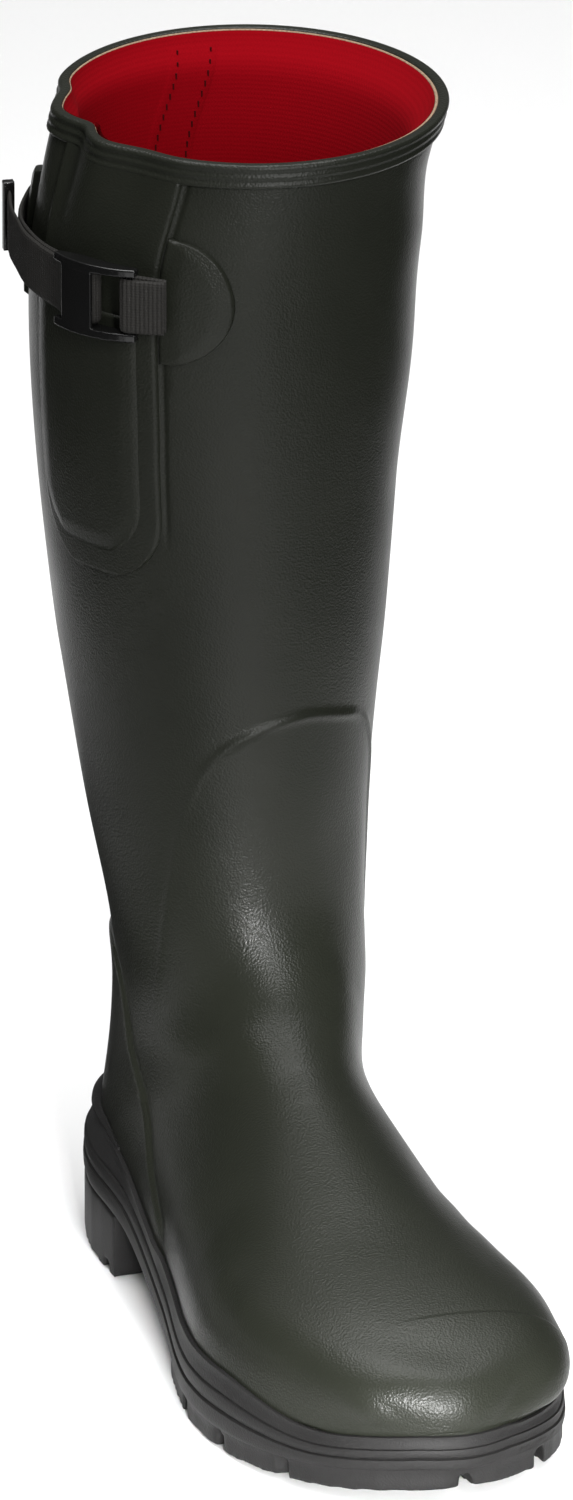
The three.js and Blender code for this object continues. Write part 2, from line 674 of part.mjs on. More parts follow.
function heelBlock() {
  const body = slab(0, () => 0, below(plateLow + gap), heelBreast, Infinity);
  const channels = [-24, 20].map((y) => block(120, lugChannel, 8, 0, y, 0));
  return cut(body, ...channels);
}
addPiece("heel_block", heelBlock(), soleRubber());

// The rand wraps the upper's foot and the midsole's edge.
const randTop = (y) => undersideAt(y) + randHeight + 5 * smoothstep(y, -60, 20);
const midsoleRoom = slab(gap - soleEdge, below(midsoleLow + 1), below(-3));
addPiece(
  "rand",
  mainBody(cut(slab(-1, below(midsoleLow), randTop), ...footClearance, midsoleRoom)),
  soleRubber(),
);

// The footbed fills the bottom of the bore.
function footbed() {
  const bore = solidOf(filledFoot(boreInset + gap, footPlaces.filter((place) => place > 7)));
  const layer = solidOf(slab(0, below(0), (y) => undersideAt(y) + boreInset + gap + 5));
  return mainBody(geometryOf(bore.intersect(layer)));
}
addPiece("footbed", footbed(), redJersey());

// ---------- overlays ----------
// They share the shells' places, so that they lie evenly on them.
const overlay = (first, last, edges, across = 18) => {
  const places = formPlaces.filter((place) => place > first && place < last);
  return patch(places, edges, -gap, -gap - overlayWall, across);
};
// The shin panel's top is an arch across the front of the leg; its sides run down past the ankle.
function shinPanel() {
  const whole = overlay(3.3, 9.2, () => [angleAt(-5), angleAt(5)], 10);
  const arch = new THREE.Shape();
  arch.absellipse(legOffset - 2, 150, 64, 62, 0, Math.PI);
  arch.lineTo(legOffset - 66, 60);
  arch.lineTo(legOffset + 62, 60);
  const window = new THREE.ExtrudeGeometry(arch, { depth: 300, bevelEnabled: false, curveSegments: 24 });
  window.rotateX(Math.PI / 2).translate(0, 100, 0);
  return geometryOf(solidOf(whole).intersect(solidOf(window)));
}
addPiece("shin_panel", shinPanel(), rubber());
addPiece(
  "heel_counter",
  overlay(5.2, 6.85, (place) => {
    const reach = degToRad(mix(62, 72, clamp((place - 5.3) / 1.4, 0, 1)));
    return [Math.PI - reach, Math.PI + reach];
  }),
  rubber(),
);
addPiece("back_stay", overlay(0.4, 5.15, () => [Math.PI - 0.13, Math.PI + 0.13], 2), rubber());
addPiece("toe_cap", overlay(12.6, 14.3, () => [degToRad(-62), degToRad(62)]), rubber());

// The kick spur is a lip round the back of the heel, to push the boot off with the other foot.
function kickSpur() {
  const low = randTop(heelReach) + gap;
  const lip = slab(0, () => low, () => low + 7, 8, Infinity);
  return mainBody(cut(lip, filledFoot(-gap)));
}
addPiece("kick_spur", kickSpur(), soleRubber());

export default boot;
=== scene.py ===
# A tall insulated rubber hunting boot for the right foot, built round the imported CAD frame, in metres.
# The heel's middle is over the origin, the toe points to -Y, the inner side of the leg is +X and +Z is up.
import math

import bmesh
import bpy
from mathutils import Matrix, Vector, noise
from mathutils.bvhtree import BVHTree


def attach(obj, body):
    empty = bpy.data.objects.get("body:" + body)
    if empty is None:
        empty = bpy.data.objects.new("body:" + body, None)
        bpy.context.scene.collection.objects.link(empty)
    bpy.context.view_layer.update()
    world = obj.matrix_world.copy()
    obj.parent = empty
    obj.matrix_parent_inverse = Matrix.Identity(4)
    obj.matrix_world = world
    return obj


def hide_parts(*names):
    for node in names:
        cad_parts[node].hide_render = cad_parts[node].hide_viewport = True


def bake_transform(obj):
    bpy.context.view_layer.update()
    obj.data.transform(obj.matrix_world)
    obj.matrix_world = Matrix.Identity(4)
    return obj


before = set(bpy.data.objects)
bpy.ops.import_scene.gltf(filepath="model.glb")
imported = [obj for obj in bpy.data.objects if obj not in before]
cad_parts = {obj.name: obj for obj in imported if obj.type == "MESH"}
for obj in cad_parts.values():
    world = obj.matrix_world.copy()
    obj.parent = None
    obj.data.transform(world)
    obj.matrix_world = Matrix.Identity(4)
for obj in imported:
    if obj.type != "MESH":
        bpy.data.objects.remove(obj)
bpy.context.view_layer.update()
MM = 0.001

# ---------- studio ----------
# A long-lens camera looks down on the toe from the outer front. The boot stands on a plain pale floor,
# lit by a tall softbox in front, a small one low on the toe and a wide one overhead, under a dim even sky.
bpy.ops.object.select_all(action="DESELECT")
looked_at = Vector((0.0079, -0.0792, 0.215))
azimuth, elevation, distance = math.radians(-20), math.radians(22), 8.0


def direction(side, height):
    return Vector((math.sin(side) * math.cos(height), -math.cos(side) * math.cos(height), math.sin(height)))


lens = bpy.data.cameras.new("boot_camera")
lens.sensor_fit = "VERTICAL"
lens.sensor_height = 36
lens.lens = 543  # so that the boot nearly fills the frame from 8 m
lens.clip_end = 50
camera = bpy.data.objects.new("boot_camera", lens)
camera.location = looked_at + direction(azimuth, elevation) * distance
camera.rotation_euler = (camera.location - looked_at).to_track_quat("Z", "Y").to_euler()
bpy.context.scene.collection.objects.link(camera)
bpy.context.scene.camera = camera
bpy.context.scene.view_settings.view_transform = "Standard"


def softbox(name, side, height, away, width, tall, power, aim=looked_at, spread=180):
    lamp = bpy.data.lights.new(name, "AREA")
    lamp.shape = "RECTANGLE"
    lamp.size, lamp.size_y = width, tall
    lamp.energy = power
    lamp.spread = math.radians(spread)
    holder = bpy.data.objects.new(name, lamp)
    holder.location = aim + direction(math.radians(side), math.radians(height)) * away
    holder.rotation_euler = (holder.location - aim).to_track_quat("Z", "Y").to_euler()
    bpy.context.scene.collection.objects.link(holder)


softbox("front_softbox", -4, 33, 2.2, 0.22, 1.4, 38)
toe_cap_top = Vector((0.010, -0.235, 0.045))
softbox("toe_softbox", -18, 13, 0.75, 0.16, 0.10, 0.6, aim=toe_cap_top, spread=30)
softbox("top_softbox", 170, 82, 2.2, 1.8, 1.4, 68)

# Black flags stand at both sides and one lies by the outer side. Only reflections see them, so that the
# dark rubber's edges stay dark. Each is given by its place to the side, its height and its size.
FLAGS = [(-0.34, 0.55, (0.01, 0.9, 0.9)), (0.30, 0.55, (0.01, 0.9, 0.9)), (-0.215, 0.004, (0.24, 0.9, 0.002))]
across = Vector((math.cos(azimuth), math.sin(azimuth), 0))
for index, (side, height, flag_size) in enumerate(FLAGS):
    stand = looked_at + across * side
    bpy.ops.mesh.primitive_cube_add(size=1, rotation=(0, 0, azimuth), scale=flag_size,
                                    location=(stand.x, stand.y, height))
    flag = bpy.context.active_object
    flag.name = f"flag_{index}"
    bpy.ops.object.transform_apply(location=True, rotation=True, scale=True)
    flag_paint = bpy.data.materials.new(flag.name)
    flag_paint.use_nodes = True
    flag_shader = flag_paint.node_tree.nodes["Principled BSDF"]
    flag_shader.inputs["Base Color"].default_value = (0.003, 0.003, 0.003, 1)
    flag_shader.inputs["Roughness"].default_value = 1.0
    flag.data.materials.append(flag_paint)
    flag.visible_camera = flag.visible_diffuse = flag.visible_shadow = flag.visible_transmission = False

sky = bpy.data.worlds.new("studio_sky")
sky.use_nodes = True
sky.node_tree.nodes["Background"].inputs["Color"].default_value = (1.0, 1.0, 1.0, 1)
sky.node_tree.nodes["Background"].inputs["Strength"].default_value = 0.14
bpy.context.scene.world = sky

bpy.ops.mesh.primitive_plane_add(size=30, location=(0, 0, -0.0002))
floor = bpy.context.active_object
floor.name = "pale_floor"
floor_paint = bpy.data.materials.new("pale_floor")
floor_paint.use_nodes = True
floor_nodes = floor_paint.node_tree
mottle = floor_nodes.nodes.new("ShaderNodeTexNoise")
mottle.inputs["Scale"].default_value = 40
tone = floor_nodes.nodes.new("ShaderNodeMapRange")
tone.inputs["To Min"].default_value = 0.90
tone.inputs["To Max"].default_value = 0.94
floor_nodes.links.new(mottle.outputs["Fac"], tone.inputs["Value"])
floor_nodes.links.new(tone.outputs["Result"], floor_nodes.nodes["Principled BSDF"].inputs["Base Color"])
floor_nodes.nodes["Principled BSDF"].inputs["Roughness"].default_value = 0.9
floor.data.materials.append(floor_paint)

# ---------- upper ----------
# The leg and foot are one skin of dark olive natural rubber, laid up by hand over a last and
# vulcanised, with a fine pebble grain. A second sheet lies under its front as the shin panel and
# round its heel as the counter, and shows through as soft ridges.
def merged_copy(node, name):
    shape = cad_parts[node].data.copy()
    shape.name = name
    made = bmesh.new()
    made.from_mesh(shape)
    bmesh.ops.remove_doubles(made, verts=made.verts, dist=0.02 * MM)
    made.to_mesh(shape)
    made.free()
    shape.materials.clear()
    piece = bpy.data.objects.new(name, shape)
    bpy.context.scene.collection.objects.link(piece)
    return piece


def only(piece):
    bpy.ops.object.select_all(action="DESELECT")
    piece.select_set(True)
    bpy.context.view_layer.objects.active = piece


def finish_with(piece, kind, **settings):
    only(piece)
    modifier = piece.modifiers.new(kind.lower(), kind)
    for setting, value in settings.items():
        setattr(modifier, setting, value)
    bpy.ops.object.modifier_apply(modifier=modifier.name)


# The middle line of the hollow that each wall of the boot faces away from.
HOLLOW = [Vector(point) * MM for point in (
    (26, 7, 440), (14, 4, 384), (12, 0, 256), (12, -5, 192), (12, -20, 128), (9, -25, 85), (6, -60, 60),
    (4, -150, 46), (9, -235, 38))]


def hollow_near(point):
    best = None
    for first, last in zip(HOLLOW, HOLLOW[1:]):
        run = last - first
        share = max(0, min(1, (point - first).dot(run) / run.length_squared))
        there = first + run * share
        if best is None or (point - there).length < (point - best).length:
            best = there
    return best


def out_of_hollow(face):
    middle = face.calc_center_median()
    return middle - hollow_near(middle)


def keep_wall(made, outer):
    """Keeps the faces that look out of the hollow, or into it, and drops the wall's cut edges."""
    away, squarely = 1 if outer else -1, 0.35
    cull = [face for face in made.faces if away * face.normal.dot(out_of_hollow(face).normalized()) < squarely]
    bmesh.ops.delete(made, geom=cull, context="FACES")


def smooth_wall(name, nodes, outer, level):
    """One smooth sheet through the outer or inner face of the frame's pieces."""
    pieces = [merged_copy(node, name if index == 0 else name + "_part") for index, node in enumerate(nodes)]
    only(pieces[0])
    for piece in pieces:
        piece.select_set(True)
    bpy.ops.object.join()
    wall = pieces[0]
    made = bmesh.new()
    made.from_mesh(wall.data)
    made.normal_update()
    keep_wall(made, outer)
    bmesh.ops.remove_doubles(made, verts=made.verts, dist=1.2 * MM)
    bmesh.ops.join_triangles(made, faces=made.faces, angle_face_threshold=0.7, angle_shape_threshold=1.2)
    bmesh.ops.recalc_face_normals(made, faces=made.faces)
    facing = sum(face.normal.dot(out_of_hollow(face)) for face in made.faces)
    if (facing > 0) != outer:
        bmesh.ops.reverse_faces(made, faces=made.faces)
    made.to_mesh(wall.data)
    made.free()
    # The control points move out until the smoothed wall runs through the corners that they had.
    only(wall)
    corners = [vertex.co.copy() for vertex in wall.data.vertices]
    rounding = wall.modifiers.new("rounding", "SUBSURF")
    rounding.levels = rounding.render_levels = 2
    for _ in range(2):
        seen = wall.evaluated_get(bpy.context.evaluated_depsgraph_get()).data
        moved = [vertex.co + (corner - seen.vertices[index].co)
                 for index, (vertex, corner) in enumerate(zip(wall.data.vertices, corners))]
        for vertex, place in zip(wall.data.vertices, moved):
            vertex.co = place
        wall.data.update()
        bpy.context.view_layer.update()
    rounding.levels = rounding.render_levels = level
    bpy.ops.object.modifier_apply(modifier=rounding.name)
    bpy.ops.object.shade_smooth()
    return wall


def ramp(value, low, high):
    share = max(0.0, min(1.0, (value - low) / (high - low)))
    return share * share * (3 - 2 * share)


def even(value, low, high):
    return (value - low) / (high - low)


def between(value, table, share=ramp):
    """Reads a table of (place, value) rows at a place between them, eased from row to row or even."""
    if value <= table[0][0]:
        return table[0][1]
    for (low, first), (high, last) in zip(table, table[1:]):
        if value <= high:
            return first + (last - first) * share(value, low, high)
    return table[-1][1]


# The leg's middle at each height, and a point's angle round it: 0 at the outer side, +90 at the front.
LEG_MIDDLE_X = [(0.384, 0.0140), (0.430, 0.0260)]
LEG_MIDDLE_Y = [(0.192, -0.005), (0.256, 0.000), (0.326, 0.002), (0.384, 0.004), (0.430, 0.007)]


def leg_middle(height):
    return Vector((between(height, LEG_MIDDLE_X), between(height, LEG_MIDDLE_Y), height))


def degrees_round(point):
    out = point - leg_middle(point.z)
    return math.degrees(math.atan2(-out.y, -out.x))


skin = smooth_wall("rubber_upper", ["leg_shell", "foot_shell"], True, 3)


def wall_finder(piece):
    return BVHTree.FromPolygons([vertex.co for vertex in piece.data.vertices],
                                [face.vertices for face in piece.data.polygons])


plain_leg = wall_finder(skin)


def on_leg(degrees, height, lift=0.0):
    """The place on the leg at an angle and a height, raised off it by lift."""
    middle = leg_middle(height)
    turn = math.radians(degrees)
    out = Vector((-math.cos(turn), -math.sin(turn), 0))
    hit, normal, _, _ = plain_leg.ray_cast(middle, out)
    if hit is None:
        hit, normal, _, _ = plain_leg.find_nearest(middle + out * 0.07)
    normal = Vector((normal.x, normal.y, 0)).normalized() if height > 0.2 else normal
    if normal.dot(out) < 0:
        normal = -normal
    return hit + normal * lift


# Where the shin panel's top edge runs: degrees round the leg, height.
SHIN_ARCH = [(34, 0.085), (39, 0.112), (43.5, 0.139), (48, 0.162), (52, 0.1815), (59, 0.199), (70, 0.211),
             (84, 0.2175), (98, 0.2195), (112, 0.2165), (124, 0.2128), (133, 0.2077), (140, 0.199), (145, 0.187),
             (148, 0.165), (149, 0.135), (149, 0.080)]


def spline_point(before, first, last, after, t):
    return 0.5 * (2 * first + (last - before) * t + (2 * before - 5 * first + 4 * last - after) * t * t
                  + (3 * first - before - 3 * last + after) * t ** 3)


def smooth_line(knots, steps):
    ends = [knots[0] * 2 - knots[1], *knots, knots[-1] * 2 - knots[-2]]
    line = [spline_point(*near, step / steps)
            for near in zip(ends, ends[1:], ends[2:], ends[3:]) for step in range(steps)]
    return line + [knots[-1]]


SHIN_ARC = 0.94 * MM  # a degree of the girth at the shin
SHIN_LINE = smooth_line([Vector((degrees * SHIN_ARC, height)) for degrees, height in SHIN_ARCH], 5)
# Where the heel counter's top and front edge runs: along the foot, height.
COUNTER = [(-0.100, 0.040), (-0.088, 0.047), (-0.066, 0.057), (-0.042, 0.071), (-0.024, 0.087), (-0.008, 0.105),
           (0.002, 0.1145), (0.014, 0.120), (0.060, 0.123)]
TOE_LINE = -0.231  # how far along the foot the toe's overlay begins
SEAM = 52.4  # degrees round the leg to the seam in front of the bellows panel


def from_shin_line(point):
    """The distance to the shin panel's edge, less than nothing inside the panel."""
    here = Vector((degrees_round(point) * SHIN_ARC, point.z))
    near, side = 1.0, 1.0
    for first, last in zip(SHIN_LINE, SHIN_LINE[1:]):
        run = last - first
        share = max(0, min(1, (here - first).dot(run) / run.length_squared))
        away = here - first - run * share
        if away.length < near:
            near = away.length
            side = 1 if run.x * away.y - run.y * away.x > 0 else -1
    return near * side


def above_counter(point):
    return point.z - between(point.y, COUNTER, even)


def refine(piece, wanted, cuts):
    """Divides the faces where a ridge runs, so that it comes out crisp."""
    made = bmesh.new()
    made.from_mesh(piece.data)
    near = {edge for face in made.faces if wanted(face.calc_center_median()) for edge in face.edges}
    bmesh.ops.subdivide_edges(made, edges=list(near), cuts=cuts, use_grid_fill=True)
    made.to_mesh(piece.data)
    made.free()


def near_a_ridge(point):
    around = degrees_round(point)
    if 0.075 < point.z < 0.225 and 30 < around < 155 and point.y > -0.09:
        if abs(from_shin_line(point)) < 6 * MM:
            return True
    if point.z < 0.13 and point.y > -0.11 and abs(above_counter(point)) < 4 * MM:
        return True
    if point.z > 0.270 and abs(around - SEAM) < 2.2:
        return True
    return point.z > 0.03 and abs(point.y - TOE_LINE) < 4 * MM


def bump_at(distance, width):
    return math.exp(-(distance / width) ** 2)


def shin_relief(point, around):
    """The panel's own thickness, and a ridge along its edge that is strongest over the arch."""
    panel_step, faint_ridge, arch_ridge, ridge_width = 0.4 * MM, 0.35, 0.75, 1.7 * MM
    away = from_shin_line(point)
    strong = ramp(around, 50, 80) * (1 - ramp(around, 118, 128)) + 0.6 * ramp(around, 128, 136)
    seen = ramp(point.z, 0.090, 0.130)
    covered = ramp(around, 40, 60) * (1 - ramp(around, 130, 150))
    ridge = (faint_ridge + arch_ridge * strong) * MM * bump_at(away, ridge_width)
    return (ridge + panel_step * (1 - ramp(away, -2 * MM, 1.5 * MM)) * covered) * seen


def counter_relief(point):
    """The heel counter's thickness, with a groove pressed along its edge."""
    counter_step, groove, groove_width = 1.5 * MM, 0.35 * MM, 1.4 * MM
    over = above_counter(point)
    held = ramp(point.y, -0.100, -0.085)
    return held * (counter_step * (1 - ramp(over, -2.4 * MM, 1.0 * MM)) - groove * bump_at(over, groove_width))


def relief(point):
    """How far the skin stands out at a point for the sheets that lie under it and for its own unevenness."""
    toe_step, seam_groove, seam_degrees = 0.30 * MM, 1.0 * MM, 0.7
    ankle_dents, waviness, inner_fullness = 1.2 * MM, 0.4 * MM, 3.6 * MM
    around = degrees_round(point)
    lift = 0.0
    if 0.07 < point.z < 0.24 and 25 < around < 160 and point.y > -0.10:
        lift += shin_relief(point, around)
    if point.z < 0.135 and point.y > -0.12:
        lift += counter_relief(point)
    if point.y < -0.20 and point.z > 0.03:
        lift += toe_step * ramp(TOE_LINE - point.y, -0.8 * MM, 0.8 * MM) * ramp(point.x, -0.015, 0.015)
    if point.z > 0.27:
        lift -= seam_groove * bump_at(around - SEAM, seam_degrees) * ramp(point.z, 0.282, 0.300)
    # soft dents where the ankle bends
    waist = ramp(point.z, 0.085, 0.12) * ramp(-point.z, -0.20, -0.16)
    lift += waist * ankle_dents * noise.noise(Vector((point.x * 40, point.y * 36, point.z * 16 + 3)))
    lift += waviness * noise.noise(Vector((point.x * 14, point.y * 14, point.z * 9 + 11)))
    # the leg stays full below the mouth on its inner side
    inner = max(0.0, -math.cos(math.radians(around)))
    lift += inner_fullness * inner * ramp(point.z, 0.29, 0.35) * (1 - ramp(point.z, 0.380, 0.412))
    return lift


# The sole's outline on the ground: the foot's corners in millimetres, with the sole's margin round them.
def sole_outline(count):
    m = 4.6
    corners = [(8, -266 - m), (40 + m, -250), (58 + m, -212), (57 + m, -172.1), (46 + m, -111.7), (41 + m, -50),
               (39 + m, 0), (25 + m, 36), (4, 46 + m), (-20 - m, 35), (-34.5 - m, 0), (-37 - m, -50),
               (-44 - m, -105), (-55 - m, -165), (-48 - m, -212), (-26 - m, -252)]
    points = []
    for step in range(count):
        place = step / count * len(corners)
        index = int(place)
        near = [Vector(corners[(index + shift) % len(corners)]) for shift in (-1, 0, 1, 2)]
        points.append(spline_point(*near, place - index) * MM)
    return points


# The heights that the sole follows along the foot.
FOREFOOT_HEIGHT, HEEL_RISE, TOE_SPRING = 17 * MM, 17 * MM, 9 * MM
RAND_HEIGHT, RAND_DIP_AT_TOE = 13 * MM, 10.0 * MM


def toe_lift(y):
    return TOE_SPRING * max(0.0, min(1.0, (-0.1702 - y) / 0.0958)) ** 2


def underside(y):
    return FOREFOOT_HEIGHT + HEEL_RISE * ramp(y, -0.141, -0.020) + toe_lift(y)


def rand_top(y):
    return underside(y) + RAND_HEIGHT - RAND_DIP_AT_TOE * ramp(-y, 0.185, 0.245)


def stations_round(count):
    """Points round the sole's outline, each with the way that faces out of it."""
    points = sole_outline(count)
    stations = []
    for index, point in enumerate(points):
        way = (points[(index + 1) % count] - points[index - 1]).normalized()
        outward = Vector((way.y, -way.x))
        if outward.dot(point - Vector((0.003, -0.11))) < 0:
            outward = -outward
        stations.append((point, outward))
    return stations


# The forefoot is lasted full, so that it stands out almost to the sole's edge.
def fill_forefoot(piece):
    inset, reach, fade_height = 3.0 * MM, 22 * MM, 38 * MM
    outline = stations_round(160)
    for vertex in piece.data.vertices:
        point = vertex.co
        forward = ramp(-point.y, 0.050, 0.110)
        over = point.z - rand_top(point.y)
        if forward == 0 or over > 40 * MM:
            continue
        near, outward = min(outline, key=lambda place: (place[0] - point.xy).length_squared)
        gap = (near - point.xy).dot(outward) - inset
        if 0 < gap < reach:
            shift = gap * forward * (1 - ramp(over, -2 * MM, fade_height)) * (1 - ramp(gap, 12 * MM, reach))
            point.x += outward.x * shift
            point.y += outward.y * shift
    piece.data.update()


def smooth_forefoot(piece):
    made = bmesh.new()
    made.from_mesh(piece.data)
    front = [vertex for vertex in made.verts
             if vertex.co.y < -0.06 and vertex.co.z < 0.095 and not vertex.is_boundary]
    for _ in range(10):
        bmesh.ops.smooth_vert(made, verts=front, factor=0.5, use_axis_x=True, use_axis_y=True, use_axis_z=True)
    made.to_mesh(piece.data)
    made.free()


# The bellows are pinched where they fold, and carry the mouth's edge in and out with them. Each fold is
# given by its degrees round the leg, its half width in degrees and its height in millimetres.
FOLDS = [(-26, 7, -2.4), (-9, 6, 1.6), (7, 6, -3.6), (22, 6, 1.4), (37, 8, -1.6)]
FOLDS_BEGIN = 0.372


def pinch(point):
    around = degrees_round(point)
    depth = ramp(point.z, FOLDS_BEGIN, 0.428)
    return MM * depth * sum(height * bump_at(around - middle, width) for middle, width, height in FOLDS)


def press(piece, amount):
    """Moves each point along its normal by what amount gives for it."""
    made = piece.data
    normals = [vertex.normal.copy() for vertex in made.vertices]
    for vertex, normal in zip(made.vertices, normals):
        vertex.co += normal * amount(vertex.co)
    made.update()


def pinch_all(piece):
    for vertex in piece.data.vertices:
        point = vertex.co
        if point.z > FOLDS_BEGIN:
            out = point - leg_middle(point.z)
            out.z = 0
            vertex.co = point + out.normalized() * pinch(point)
    piece.data.update()


fill_forefoot(skin)
smooth_forefoot(skin)
refine(skin, near_a_ridge, 2)
press(skin, relief)
pinch_all(skin)


def group_socket(tree, name, way, kind="NodeSocketFloat", value=None):
    socket = tree.interface.new_socket(name=name, in_out=way, socket_type=kind)
    if value is not None:
        socket.default_value = value


def add_node(tree, kind, **values):
    made = tree.nodes.new("ShaderNode" + kind)
    for name, value in values.items():
        name = name.replace("_", " ")
        if name in made.inputs:
            made.inputs[name].default_value = value
        else:
            setattr(made, name.replace(" ", "_"), value)
    return made


def wire(tree, *pairs):
    for start, end in pairs:
        tree.links.new(start, end)


# Pebble grain: rounded pebbles about a millimetre across on top of a slow hand-laid waviness.
grain = bpy.data.node_groups.new("pebble_grain", "ShaderNodeTree")
group_socket(grain, "Pebbles", "INPUT", value=1300.0)
group_socket(grain, "Height", "OUTPUT")
group_socket(grain, "Tone", "OUTPUT")
group_socket(grain, "Smears", "OUTPUT")
grain_in, grain_out = grain.nodes.new("NodeGroupInput"), grain.nodes.new("NodeGroupOutput")
where = add_node(grain, "TexCoord")
pebbles = add_node(grain, "TexVoronoi", feature="SMOOTH_F1", Smoothness=0.6)
fine = add_node(grain, "TexNoise", Scale=2600.0, Detail=2.0)
laid = add_node(grain, "TexNoise", Scale=38.0, Detail=3.0)
smear = add_node(grain, "TexNoise", Scale=11.0, Detail=4.0, Roughness=0.6)
summed = add_node(grain, "Math", operation="MULTIPLY_ADD")
summed.inputs[1].default_value = 0.35
summed_too = add_node(grain, "Math", operation="MULTIPLY_ADD")
summed_too.inputs[1].default_value = 0.5
wire(grain, (where.outputs["Object"], pebbles.inputs["Vector"]),
     (grain_in.outputs["Pebbles"], pebbles.inputs["Scale"]),
     (where.outputs["Object"], fine.inputs["Vector"]), (where.outputs["Object"], laid.inputs["Vector"]),
     (where.outputs["Object"], smear.inputs["Vector"]), (fine.outputs["Fac"], summed.inputs[0]),
     (pebbles.outputs["Distance"], summed.inputs[2]), (laid.outputs["Fac"], summed_too.inputs[0]),
     (summed.outputs["Value"], summed_too.inputs[2]), (summed_too.outputs["Value"], grain_out.inputs["Height"]),
     (laid.outputs["Fac"], grain_out.inputs["Tone"]), (smear.outputs["Fac"], grain_out.inputs["Smears"]))


def rubber_material(name, dark, light, smooth, rough, depth, pebble_scale=1300.0, shine=0.19):
    """Moulded rubber or plastic: two close tones, a gloss that wanders from smooth to rough, and the grain."""
    material = bpy.data.materials.new(name)
    material.use_nodes = True
    tree = material.node_tree
    shader = tree.nodes["Principled BSDF"]
    made = tree.nodes.new("ShaderNodeGroup")
    made.node_tree = grain
    made.inputs["Pebbles"].default_value = pebble_scale
    colour = add_node(tree, "Mix", data_type="RGBA")
    colour.inputs["A"].default_value = (*dark, 1)
    colour.inputs["B"].default_value = (*light, 1)
    gloss = add_node(tree, "MapRange", From_Min=0.3, From_Max=0.7, To_Min=smooth, To_Max=rough)
    bump = add_node(tree, "Bump", Strength=1.0, Distance=depth)
    wire(tree, (made.outputs["Tone"], colour.inputs["Factor"]),
         (colour.outputs["Result"], shader.inputs["Base Color"]),
         (made.outputs["Smears"], gloss.inputs["Value"]), (gloss.outputs["Result"], shader.inputs["Roughness"]),
         (made.outputs["Height"], bump.inputs["Height"]), (bump.outputs["Normal"], shader.inputs["Normal"]))
    shader.inputs["Specular IOR Level"].default_value = shine
    return material


olive_rubber = rubber_material("olive_rubber", (0.0100, 0.0112, 0.0080), (0.0146, 0.0158, 0.0118),
                               0.28, 0.42, 0.13 * MM)


def dress(piece, material, slot, body, *nodes):
    """Body is the part of the boot that the piece rides, or None for a piece that bends between two."""
    piece.data.materials.clear()
    piece.data.materials.append(material)
    if body:
        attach(piece, body)
    if nodes:
        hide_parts(*nodes)


# The skin hides the stiffener, toe puff and insole board, which aren't made here.
dress(skin, olive_rubber, "green_rubber", "boot", "leg_shell", "foot_shell", "shin_panel", "heel_counter",
      "back_stay", "toe_cap", "toe_puff", "heel_stiffener", "insole_board")

# ---------- lining ----------
# A red polyester jersey is bonded to the neoprene and lines the boot. Its cut edge is turned over the
# neoprene at the mouth, and a taped seam runs down its back. It hides the footbed, which isn't made here.
lining = smooth_wall("red_lining", ["lining_sock"], False, 3)
LINING_TOP = 0.4272
TURN_OUT, LESS_AT_FOLD, TURN_UP = 5.8, 1.8, 1.6  # how far the edge turns over the neoprene, in millimetres
for vertex in lining.data.vertices:
    point = vertex.co
    if point.z > 0.405:
        out = point - leg_middle(point.z)
        out.z = 0
        flare = ramp(point.z, 0.412, LINING_TOP)
        folded = bump_at(degrees_round(point) - 10, 13)
        point += out.normalized() * ((TURN_OUT - LESS_AT_FOLD * folded) * MM * flare ** 2)
        point.z += TURN_UP * MM * ramp(point.z, 0.40, LINING_TOP)
lining.data.update()
pinch_all(lining)


def leg_cloth(tree, across, along, leg_radius=0.067):
    """Coordinates that run round the leg and down it, in metres, for a knit or a weave."""
    where = add_node(tree, "TexCoord")
    split = add_node(tree, "SeparateXYZ")
    around = add_node(tree, "Math", operation="ARCTAN2")
    arc = add_node(tree, "Math", operation="MULTIPLY")
    arc.inputs[1].default_value = leg_radius
    joined = add_node(tree, "CombineXYZ")
    centred = add_node(tree, "Mapping")
    centred.inputs["Location"].default_value = (-0.0135, -0.004, 0)
    wire(tree, (where.outputs["Object"], centred.inputs["Vector"]),
         (centred.outputs["Vector"], split.inputs["Vector"]), (split.outputs["Y"], around.inputs[0]),
         (split.outputs["X"], around.inputs[1]), (around.outputs["Value"], arc.inputs[0]),
         (arc.outputs["Value"], joined.inputs["X"]), (split.outputs["Z"], joined.inputs["Y"]))
    scaled = add_node(tree, "Mapping")
    scaled.inputs["Scale"].default_value = (across, along, 1)
    wire(tree, (joined.outputs["Vector"], scaled.inputs["Vector"]))
    return scaled.outputs["Vector"]


jersey = bpy.data.materials.new("red_jersey")
jersey.use_nodes = True
knit = jersey.node_tree
wales = add_node(knit, "TexWave", wave_type="BANDS", bands_direction="X", Scale=1.0, Distortion=1.2, Detail=1.0)
courses = add_node(knit, "TexWave", wave_type="BANDS", bands_direction="Y", Scale=1.0, Distortion=1.0,
                   Detail=1.0)
thread = leg_cloth(knit, 260, 200)
loops = add_node(knit, "Math", operation="MULTIPLY")
fuzz = add_node(knit, "TexNoise", Scale=900.0, Detail=3.0)
pile = add_node(knit, "Math", operation="ADD")
knit_bump = add_node(knit, "Bump", Strength=0.6, Distance=0.10 * MM)
red = add_node(knit, "Mix", data_type="RGBA")
red.inputs["A"].default_value = (0.18, 0.0004, 0.0030, 1)
red.inputs["B"].default_value = (0.27, 0.0007, 0.0050, 1)
cloth_shader = knit.nodes["Principled BSDF"]
cloth_shader.inputs["Roughness"].default_value = 0.95
cloth_shader.inputs["Specular IOR Level"].default_value = 0.06
